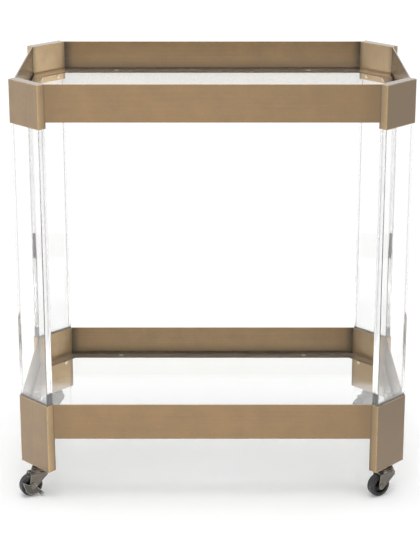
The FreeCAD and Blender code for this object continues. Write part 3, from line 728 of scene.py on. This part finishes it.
def screw_places(node):
    """Where each screw of a group stands, its Z pointing out of the head, with its radius and length."""
    for side, depth in CORNERS.values():
        outward = Vector((side, depth, 0.0)).normalized()
        across = Vector((-depth, side, 0.0)).normalized()
        turn = Matrix((-across, UP, -outward)).transposed().to_4x4()

        def here(point):
            return point.x * side > 0 and point.y * depth > 0

        inner, outer = spread(node, outward, here)
        low, high = spread(node, UP, here)
        left, right = spread(node, across, here)
        radius = (high - low) / 2
        for shift in (left + radius, right - radius):
            place = outward * inner + across * shift + UP * (low + high) / 2
            yield Matrix.Translation(place) @ turn, radius, outer - inner


def bumper_shape(sizes, node):
    """The bumpers of a tray with rounded rims, a hair clear of the glass above and the ledge below."""
    shape = bmesh.new()
    shape.from_mesh(frame["nodes"][node].data)
    bmesh.ops.remove_doubles(shape, verts=shape.verts, dist=CAD_WELD)
    bmesh.ops.dissolve_limit(shape, angle_limit=FLAT_ANGLE, verts=shape.verts, edges=shape.edges)
    bmesh.ops.bevel(
        shape,
        geom=[edge for edge in shape.edges if edge.calc_face_angle() > RIM_ANGLE],
        offset=sizes.bumper_round,
        segments=RIM_STEPS,
        profile=0.5,
        affect="EDGES",
        material=-1,
    )
    low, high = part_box(node)
    middle = Matrix.Translation(UP * -(low.z + high.z) / 2)
    squash = 1 - 2 * sizes.bumper_clearance / (high.z - low.z)
    bmesh.ops.scale(shape, vec=(1.0, 1.0, squash), space=middle, verts=shape.verts)
    return shape


def tyre_shape(sizes, axis, radius, bore, width):
    """A tyre about the origin: its section spun round the axis."""
    shape = bmesh.new()
    side = width / 2
    step_side = side - sizes.tyre_step
    # Half of the section, from the bore out to the middle of the tread
    section = [(step_side, bore), (step_side, bore + 2 * sizes.tyre_step)]
    for step in range(SHOULDER_STEPS + 1):
        turn = step / SHOULDER_STEPS * math.pi / 2
        inward = sizes.tyre_round * (1 - math.cos(turn))
        below = sizes.tyre_round * (1 - math.sin(turn))
        section.append((side - inward, radius - below))
    section.append((2 * sizes.tyre_seam, radius - sizes.tyre_seam))
    section.append((sizes.tyre_seam, radius))
    section += [(-along, out) for along, out in reversed(section)]
    verts, edges = closed_ring(shape, [axis * along + UP * out for along, out in section])
    bmesh.ops.spin(
        shape,
        geom=verts + edges,
        cent=(0.0, 0.0, 0.0),
        axis=axis,
        angle=math.tau,
        steps=TYRE_SIDES,
        use_merge=True,
    )
    return shape


# Operators


class CartOperator:
    """What every step of the cart shares."""

    bl_options = {"REGISTER", "UNDO"}

    @property
    def sizes(self):
        return bpy.context.scene.cart_sizes

    @property
    def colours(self):
        return bpy.context.scene.cart_colours

    # The strengths of the painted light and painted shade
    @property
    def patina(self):
        return bpy.context.scene.cart_patina

    @property
    def studio(self):
        return bpy.context.scene.cart_studio


class BARCART_OT_finish_rails(CartOperator, bpy.types.Operator):
    """Brush the rails along their length and leave the ledges satin"""

    bl_idname = "barcart.finish_rails"
    bl_label = "Finish Rails and Ledges"

    def execute(self, context):
        tones = self.colours
        patina = self.patina
        self.finish_pair("long", ACROSS, ("front", "back"), tones.painted_light_brass, patina.long_inside_light)
        self.finish_pair("short", DEEP, ("left", "right"), tones.shaded_brass, patina.short_inside_shade)
        self.finish_ledges()
        return {"FINISHED"}

    def finish_ledges(self):
        """Satin, with painted shade on the edges and painted light across the sleeves, most of all in the
        upper tray.
        """
        tones = self.colours
        sizes = self.sizes
        patina = self.patina
        free_side = spread("upper_sleeve_back_right", OUT_OF_CORNER)[0] - sizes.ledge_width

        # Painted light: the ledge is lighter across the sleeves, in the trays' corners
        def across_sleeves(start):
            strip = out_of_corner(start).fade(free_side, free_side + sizes.ledge_fade)
            return strip * by_tray(start, patina.lower_ledge, patina.upper_ledge)

        # Painted shade on the ledge's upright faces and edges, except across the sleeves
        def shaded_edges(start):
            free_edges = upright_faces(start) * (1 - across_sleeves(start))
            return free_edges.larger(sharp_edges(start, sizes.ledge_shade_reach) * patina.ledge_edge_shade)

        satin = antique_metal(
            "aged_ledges",
            tones.ledge_brass,
            tones.painted_shade_brass,
            roughness=0.35,
            mottle=0.04,
            wear=0.1,
            radius=sizes.ledge_shade_reach,
            lacquer=0.0,
            layers=[(across_sleeves, tones.painted_light_brass), (shaded_edges, tones.painted_shade_brass)],
            grain=0.1,
        )
        dress(satin, *(f"{tier}_ledge" for tier in TIERS))

    def finish_pair(self, kind, axis, sides, inner_tone, inner_share):
        """Finish the rails of both tiers that run along one axis."""
        tones = self.colours
        sizes = self.sizes
        patina = self.patina
        low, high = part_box(f"upper_rail_{sides[1]}")
        end = high[axis]
        middle = (low[1 - axis] + high[1 - axis]) / 2
        shelf_tops = [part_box(f"{tier}_glass_shelf")[1].z for tier in TIERS]

        def inside(start):
            return place_of(start)[1 - axis].size().below(middle)

        # Painted light inside the long rails, and painted shade inside the short rails
        def inner_light_and_shade(start):
            return inside(start) * inner_share

        # Painted shade: the rails grow darker towards the right side
        def right_shade(start):
            return right_shade_ramp(start) * patina.rail_right_shade

        # Painted shade: darker towards the rail's ends where they meet the sleeves, darkest in a line at
        # the joint
        def near_ends(start):
            along = place_of(start)[axis].size()
            stain = along.fade(end - sizes.end_shade, end) * patina.end_shade
            return stain.larger(along.fade(end - sizes.joint_shade_line, end) * patina.joint_shade_line)

        # Painted shade in the inner corners, beside the sleeves
        def in_corners(start):
            along = place_of(start)[axis].size()
            return inside(start) * along.fade(end - sizes.corner_shade, end) * patina.corner_shade

        # Painted shade and reflection: the inside of the rails darkens towards the glass, darkest in a line
        # along it
        def above_glass(start):
            height = place_of(start)[UPRIGHT]
            shelf_shades = []
            for top in shelf_tops:
                soft = (1 - height.fade(top, top + sizes.shelf_shade)) * patina.shelf_shade
                line = (1 - height.fade(top, top + sizes.shelf_shade_line)) * patina.shelf_shade_line
                shelf_shades.append(height.above(top - sizes.shelf_shade) * soft.larger(line))
            return inside(start) * shelf_shades[0].larger(shelf_shades[1])

        # Painted shade: the right side, the rail's ends, the inner corners and the line along the glass
        painted_shade_masks = (right_shade, near_ends, in_corners, above_glass)
        finish = antique_metal(
            f"aged_{kind}_rails",
            tones.rail_brass,
            tones.painted_shade_brass,
            axis,
            radius=sizes.rail_wear,
            wear=0.3,
            layers=[(inner_light_and_shade, inner_tone), *((mask, tones.painted_shade_brass) for mask in painted_shade_masks)],
        )
        dress(finish, *(f"{tier}_rail_{side}" for tier in TIERS for side in sides))


class BARCART_OT_finish_sleeves(CartOperator, bpy.types.Operator):
    """Brush the corner sleeves upright and leave the foot blocks dull"""

    bl_idname = "barcart.finish_sleeves"
    bl_label = "Finish Sleeves"

    def execute(self, context):
        tones = self.colours
        sizes = self.sizes
        patina = self.patina
        node = "upper_sleeve_back_right"
        inner, outer = spread(node, OUT_OF_CORNER)
        first, last = spread(node, ALONG_CORNER)
        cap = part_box(node)[1].z - sizes.sleeve_wall / 2
        skin = sizes.sleeve_skin

        def inner_wall(start):
            return out_of_corner(start).below(inner + skin)

        # Painted light: the sleeve's inner face is made lighter, most of all in the upper tray
        def inner_face_light(start):
            return inner_wall(start) * by_tray(start, patina.lower_sleeve, patina.upper_sleeve)

        # Painted shade inside the sleeve where the rails meet it
        def inner_corners(start):
            along = along_corner(start)
            near_first = 1 - along.fade(first, first + sizes.sleeve_corner_shade)
            near_last = along.fade(last - sizes.sleeve_corner_shade, last)
            return inner_wall(start) * near_first.larger(near_last) * patina.sleeve_corner_shade

        # Painted shade in the sleeve's hollow, lighter in its outer half, which faces the light
        def hollow(start):
            out = out_of_corner(start)
            along = along_corner(start)
            between_walls = out.above(inner + skin) * out.below(outer - skin)
            between_ends = along.above(first + skin) * along.below(last - skin)
            below_cap = place_of(start)[UPRIGHT].below(cap)
            outer_half = out.above((inner + outer) / 2)
            return between_walls * between_ends * below_cap * (1 - outer_half * patina.hollow_outer)

        def end_face(start):
            along = along_corner(start)
            return along.below(first + skin).larger(along.above(last - skin))

        # Painted highlight: the sleeve's end takes lighter brass, most of all at its outer edge
        def end_highlight(start):
            outward = out_of_corner(start).fade(inner, outer)
            rise = patina.end_highlight_out - patina.end_highlight_in
            return end_face(start) * (patina.end_highlight_in + outward * rise)

        # Painted shade: the sleeves grow darker towards the right side
        def right_shade(start):
            return right_shade_ramp(start) * patina.sleeve_right_shade

        # Painted shade on the sleeve's end, beside the rail
        def beside_rail(start):
            beside = 1 - out_of_corner(start).fade(inner, inner + sizes.joint_shade)
            return end_face(start) * beside * patina.joint_shade

        # Painted shade: the right side, beside the rails, the inner corners and the hollow
        painted_shade_masks = (right_shade, beside_rail, inner_corners, hollow)
        finish = antique_metal(
            "aged_sleeves",
            tones.sleeve_brass,
            tones.rubbed_highlight_brass,
            UPRIGHT,
            radius=sizes.sleeve_wear_highlight,
            layers=[
                (inner_face_light, tones.painted_light_brass),
                (end_highlight, tones.end_highlight_brass),
                *((mask, tones.painted_shade_brass) for mask in painted_shade_masks),
            ],
        )
        dress(finish, *(f"{tier}_sleeve_{corner}" for tier in TIERS for corner in CORNERS))
        sawn = antique_metal("sawn_foot_blocks", tones.foot_metal, tones.steel, roughness=0.5, wear=0.3)
        dress(sawn, *(f"foot_block_{corner}" for corner in CORNERS))
        return {"FINISHED"}


class BARCART_OT_finish_posts(CartOperator, bpy.types.Operator):
    """Polish the acrylic posts"""

    bl_idname = "barcart.finish_posts"
    bl_label = "Finish Posts"

    def execute(self, context):
        sizes = self.sizes

        def polished_foot(start):
            height = place_of(start)[UPRIGHT]
            return 1 - height.fade(sizes.polish_top - sizes.polish_fade, sizes.polish_top)

        finish = clear_sheet(
            "clear_posts",
            self.colours.acrylic,
            index=1.49,
            clearness=0.97,
            roughness=0.006,
            polish=polished_foot,
            edge_shade_radius=sizes.post_edge_shade,
        )
        dress(finish, *(f"post_{corner}" for corner in CORNERS))
        return {"FINISHED"}


class BARCART_OT_finish_shelves(CartOperator, bpy.types.Operator):
    """Make the shelves clear glass"""

    bl_idname = "barcart.finish_shelves"
    bl_label = "Finish Shelves"

    def execute(self, context):
        tone = self.colours.glass
        sizes = self.sizes

        def polished_front(start):
            depth = place_of(start)[DEEP]
            front = 1 - depth.fade(sizes.shelf_polish, sizes.shelf_polish + sizes.shelf_fade)
            return front * by_tray(start, 1.0, 0.0)

        # The index is lower than that of plain glass, because the shelves mirror little
        glass = clear_sheet(
            "clear_shelves", tone, index=1.16, clearness=0.98, roughness=0.006, polish=polished_front
        )
        dress(glass, *(f"{tier}_glass_shelf" for tier in TIERS))
        return {"FINISHED"}


class BARCART_OT_make_bumpers(CartOperator, bpy.types.Operator):
    """Model the milky vinyl bumpers under the glass with their rounded rims"""

    bl_idname = "barcart.make_bumpers"
    bl_label = "Make Bumpers"

    def execute(self, context):
        tone = self.colours.vinyl
        vinyl = clear_sheet("milky_bumpers", tone, index=1.45, clearness=0.2, roughness=0.3)
        for tier in TIERS:
            node = f"{tier}_glass_bumpers"
            piece = new_piece(f"{tier}_round_bumpers", bumper_shape(self.sizes, node), vinyl)
            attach(piece, FRAME_BODY)
            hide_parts(node)
        return {"FINISHED"}


class BARCART_OT_make_screws(CartOperator, bpy.types.Operator):
    """Model the cross-recess screws that hold the posts in the sleeves"""

    bl_idname = "barcart.make_screws"
    bl_label = "Make Sleeve Screws"

    def execute(self, context):
        tone = self.colours.screw_brass
        sizes = self.sizes
        finish = antique_metal(
            "rubbed_screws", tone, tone, roughness=0.2, mottle=0.05, radius=sizes.rail_wear
        )
        for tier in TIERS:
            node = f"{tier}_sleeve_screws"
            group = bmesh.new()
            for place, radius, whole_length in screw_places(node):
                one = screw_shape(sizes, radius, whole_length)
                bmesh.ops.recalc_face_normals(one, faces=one.faces)
                bmesh.ops.transform(one, matrix=place, verts=one.verts)
                single = bpy.data.meshes.new("one_screw")
                one.to_mesh(single)
                one.free()
                group.from_mesh(single)
                bpy.data.meshes.remove(single)
            piece = new_piece(f"{tier}_cross_screws", group, finish)
            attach(piece, FRAME_BODY)
            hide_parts(node)
        return {"FINISHED"}


class BARCART_OT_finish_casters(CartOperator, bpy.types.Operator):
    """Give the forks, levers, stems, axles and hubs their metal and plastic"""

    bl_idname = "barcart.finish_casters"
    bl_label = "Finish Casters"

    def execute(self, context):
        tones = self.colours
        sizes = self.sizes
        patina = self.patina
        race_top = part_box("caster_fork_front_left")[1].z
        crown = race_top - sizes.race_height
        ring = race_top - sizes.race_step

        # Painted shade under the sleeve: the race and crown of the fork darken towards the top
        def shade_under_sleeve(start):
            height = place_of(start)[UPRIGHT]
            low = height.fade(crown - sizes.crown_shade, crown) * patina.crown_shade
            return low.larger(height.fade(ring - sizes.race_shade, ring) * patina.race_shade)

        bronze = antique_metal(
            "aged_casters",
            tones.bronze,
            tones.rubbed_highlight_bronze,
            roughness=0.22,
            mottle=0.25,
            wear=0.9,
            radius=sizes.caster_wear_highlight,
            layers=[(shade_under_sleeve, tones.stem_shade_bronze)],
        )
        # The stems' dark bronze is painted shade under the sleeves
        oiled = antique_metal(
            "shaded_stems", tones.stem_shade_bronze, tones.rubbed_highlight_bronze, roughness=0.3, wear=0.3
        )
        steel = turned_steel("turned_axles", tones.steel)
        plastic = moulded(
            "moulded_hubs", tones.hub_plastic, tones.tyre_rubber, roughness=0.42, grain=0.1, gloss=0.3
        )
        dress(steel, "thrust_washers")
        for piece, finish in {"fork": bronze, "stem": oiled, "axle": steel, "hub": plastic}.items():
            dress(finish, *(f"caster_{piece}_{corner}" for corner in CORNERS))
        for corner in BRAKED_CORNERS:
            self.finish_lever(corner)
        return {"FINISHED"}

    def finish_lever(self, corner):
        """Bronze like the fork's, worn bright by shoes on the pedal, which stands out from the plate."""
        tones = self.colours
        sizes = self.sizes
        node = f"brake_lever_{corner}"
        axis = Vector(JOINTS[f"{corner}_brake"]["axis"])
        plate_face = spread(node, axis)[0] + sizes.lever_plate

        def pedal(start):
            reach = start.node("ShaderNodeTexCoord", output="Object").along(axis)
            return reach.fade(plate_face, plate_face + sizes.lever_plate)

        finish = antique_metal(
            f"worn_lever_{corner}",
            tones.lever_bronze,
            tones.foot_worn,
            roughness=0.25,
            mottle=0.25,
            wear=1.0,
            radius=sizes.lever_wear,
            layers=[(pedal, tones.foot_worn)],
            scuffs=pedal,
        )
        dress(finish, node)


class BARCART_OT_make_tyres(CartOperator, bpy.types.Operator):
    """Model the tyres with their shoulders, side steps and mould seam"""

    bl_idname = "barcart.make_tyres"
    bl_label = "Make Tyres"

    def execute(self, context):
        tones = self.colours
        rubber = moulded("rubber_tyres", tones.tyre_rubber, tones.dust, roughness=0.3, grain=0.3, gloss=0.6)
        for corner in CORNERS:
            node = f"caster_tyre_{corner}"
            joint = JOINTS[f"{corner}_wheel_spin"]
            axis = Vector(joint["axis"]).normalized()
            centre = Vector(joint["pos_m"])
            low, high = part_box(node)
            near, far = spread(node, axis)
            arms = [vert.co - centre for vert in frame["nodes"][node].data.vertices]
            bore = min((arm - axis * arm.dot(axis)).length for arm in arms)
            shape = tyre_shape(self.sizes, axis, (high.z - low.z) / 2, bore, far - near)
            bmesh.ops.translate(shape, vec=centre, verts=shape.verts)
            piece = new_piece(f"rolling_tyre_{corner}", shape, rubber)
            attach(piece, f"caster_wheel_{corner}")
            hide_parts(node)
        return {"FINISHED"}


class BARCART_OT_set_stage(CartOperator, bpy.types.Operator):
    """Set up the pale floor, the soft light and the camera"""

    bl_idname = "barcart.set_stage"
    bl_label = "Set Stage"

    def execute(self, context):
        self.light_world(context.scene)
        self.lay_floor()
        self.hang_lamp(context.scene)
        self.stand_camera(context.scene)
        context.scene.view_settings.view_transform = "Standard"
        return {"FINISHED"}

    def light_world(self, scene):
        """A plain pale sky that is white where it is seen, and dimmer at the right where it is mirrored."""
        studio = self.studio
        world = bpy.data.worlds.new("studio")
        scene.world = world
        world.use_nodes = True
        world.node_tree.nodes.clear()
        start = Signal(world.node_tree)
        direction = start.node("ShaderNodeTexCoord", output="Generated")
        sideways = start.node("ShaderNodeSeparateXYZ", {"Vector": direction})
        dimming = mirrored(start) * sideways.fade(*SKY_DIMS)
        strength = studio.sky + seen(start) * (1 - studio.sky)
        strength = strength * (1 - dimming * (1 - studio.dim_side))
        sky = start.node("ShaderNodeBackground", {"Color": WHITE, "Strength": strength})
        start.node("ShaderNodeOutputWorld", {"Surface": sky})

    def lay_floor(self):
        """A pale floor that glows a little where it is seen, and keeps the cart's shadow."""
        studio = self.studio
        pale = self.colours.floor
        shape = bmesh.new()
        bmesh.ops.create_grid(shape, x_segments=1, y_segments=1, size=studio.floor_reach)
        material, start = new_finish("floor")
        dimming = place_of(start)[ACROSS].fade(*FLOOR_DIMS) * mirrored(start)
        tone = dimming.between(solid(pale), solid(pale, studio.dim_side))
        paint = start.node("ShaderNodeBsdfDiffuse", {"Color": tone})
        glow = start.node("ShaderNodeEmission", {"Strength": studio.floor_glow})
        bright = start.node("ShaderNodeAddShader", {0: paint, 1: glow})
        show(start, start.node("ShaderNodeMixShader", {0: seen(start), 1: paint, 2: bright}))
        new_piece("floor", shape, material)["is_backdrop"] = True

    def hang_lamp(self, scene):
        """One wide soft lamp from above."""
        studio = self.studio
        lamp = bpy.data.lights.new("soft_lamp", "SUN")
        lamp.energy = studio.lamp
        lamp.angle = studio.lamp_spread
        holder = bpy.data.objects.new("soft_lamp", lamp)
        direction = Vector((0.0, studio.lamp_lean, -1.0))
        holder.rotation_euler = direction.to_track_quat("-Z", "Y").to_euler()
        scene.collection.objects.link(holder)

    def stand_camera(self, scene):
        """The camera in front of the cart, looking down at it."""
        studio = self.studio
        view = bpy.data.cameras.new("camera")
        view.lens = studio.camera_lens
        view.shift_x = studio.camera_shift_x
        view.shift_y = studio.camera_shift_y
        camera = bpy.data.objects.new("camera", view)
        camera.location = (0.0, -studio.camera_back, studio.camera_up)
        camera.rotation_euler = (math.pi / 2 - studio.camera_pitch, 0.0, 0.0)
        scene.collection.objects.link(camera)
        scene.camera = camera


OPERATORS = (
    BARCART_OT_finish_rails,
    BARCART_OT_finish_sleeves,
    BARCART_OT_finish_posts,
    BARCART_OT_finish_shelves,
    BARCART_OT_make_bumpers,
    BARCART_OT_make_screws,
    BARCART_OT_finish_casters,
    BARCART_OT_make_tyres,
    BARCART_OT_set_stage,
)
# The scene's name for each group of settings
GROUPS = {
    "cart_sizes": CartSizes,
    "cart_colours": CartColours,
    "cart_patina": CartPaintedLightAndShade,
    "cart_studio": CartStudio,
}


class BARCART_PT_steps(bpy.types.Panel):
    """The cart's steps and settings"""

    bl_idname = "BARCART_PT_steps"
    bl_label = "Bar Cart"
    bl_space_type = "VIEW_3D"
    bl_region_type = "UI"
    bl_category = "Bar Cart"

    def draw(self, context):
        column = self.layout.column()
        for step in OPERATORS:
            column.operator(step.bl_idname)
        for group_name in GROUPS:
            group = getattr(context.scene, group_name)
            box = self.layout.box()
            for name in group.bl_rna.properties.keys():
                if name not in ("rna_type", "name"):
                    box.prop(group, name)


CLASSES = (*GROUPS.values(), *OPERATORS, BARCART_PT_steps)


def register():
    for item in CLASSES:
        bpy.utils.register_class(item)
    for name, group in GROUPS.items():
        setattr(bpy.types.Scene, name, PointerProperty(type=group))


def unregister():
    for name in GROUPS:
        delattr(bpy.types.Scene, name)
    for item in reversed(CLASSES):
        bpy.utils.unregister_class(item)


def write_sizes():
    """Works out the CAD box and the box of the dressed cart as lists, and keeps neither."""
    boxes = {"cad": CAD_BOX, "visual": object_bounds()}
    {name: [list(corner) for corner in box] for name, box in boxes.items()}


def main():
    register()
    bpy.ops.barcart.finish_rails()
    bpy.ops.barcart.finish_sleeves()
    bpy.ops.barcart.finish_posts()
    bpy.ops.barcart.finish_shelves()
    bpy.ops.barcart.make_bumpers()
    bpy.ops.barcart.make_screws()
    bpy.ops.barcart.finish_casters()
    bpy.ops.barcart.make_tyres()
    bpy.ops.barcart.set_stage()
    write_sizes()


if __name__ == "__main__":
    main()
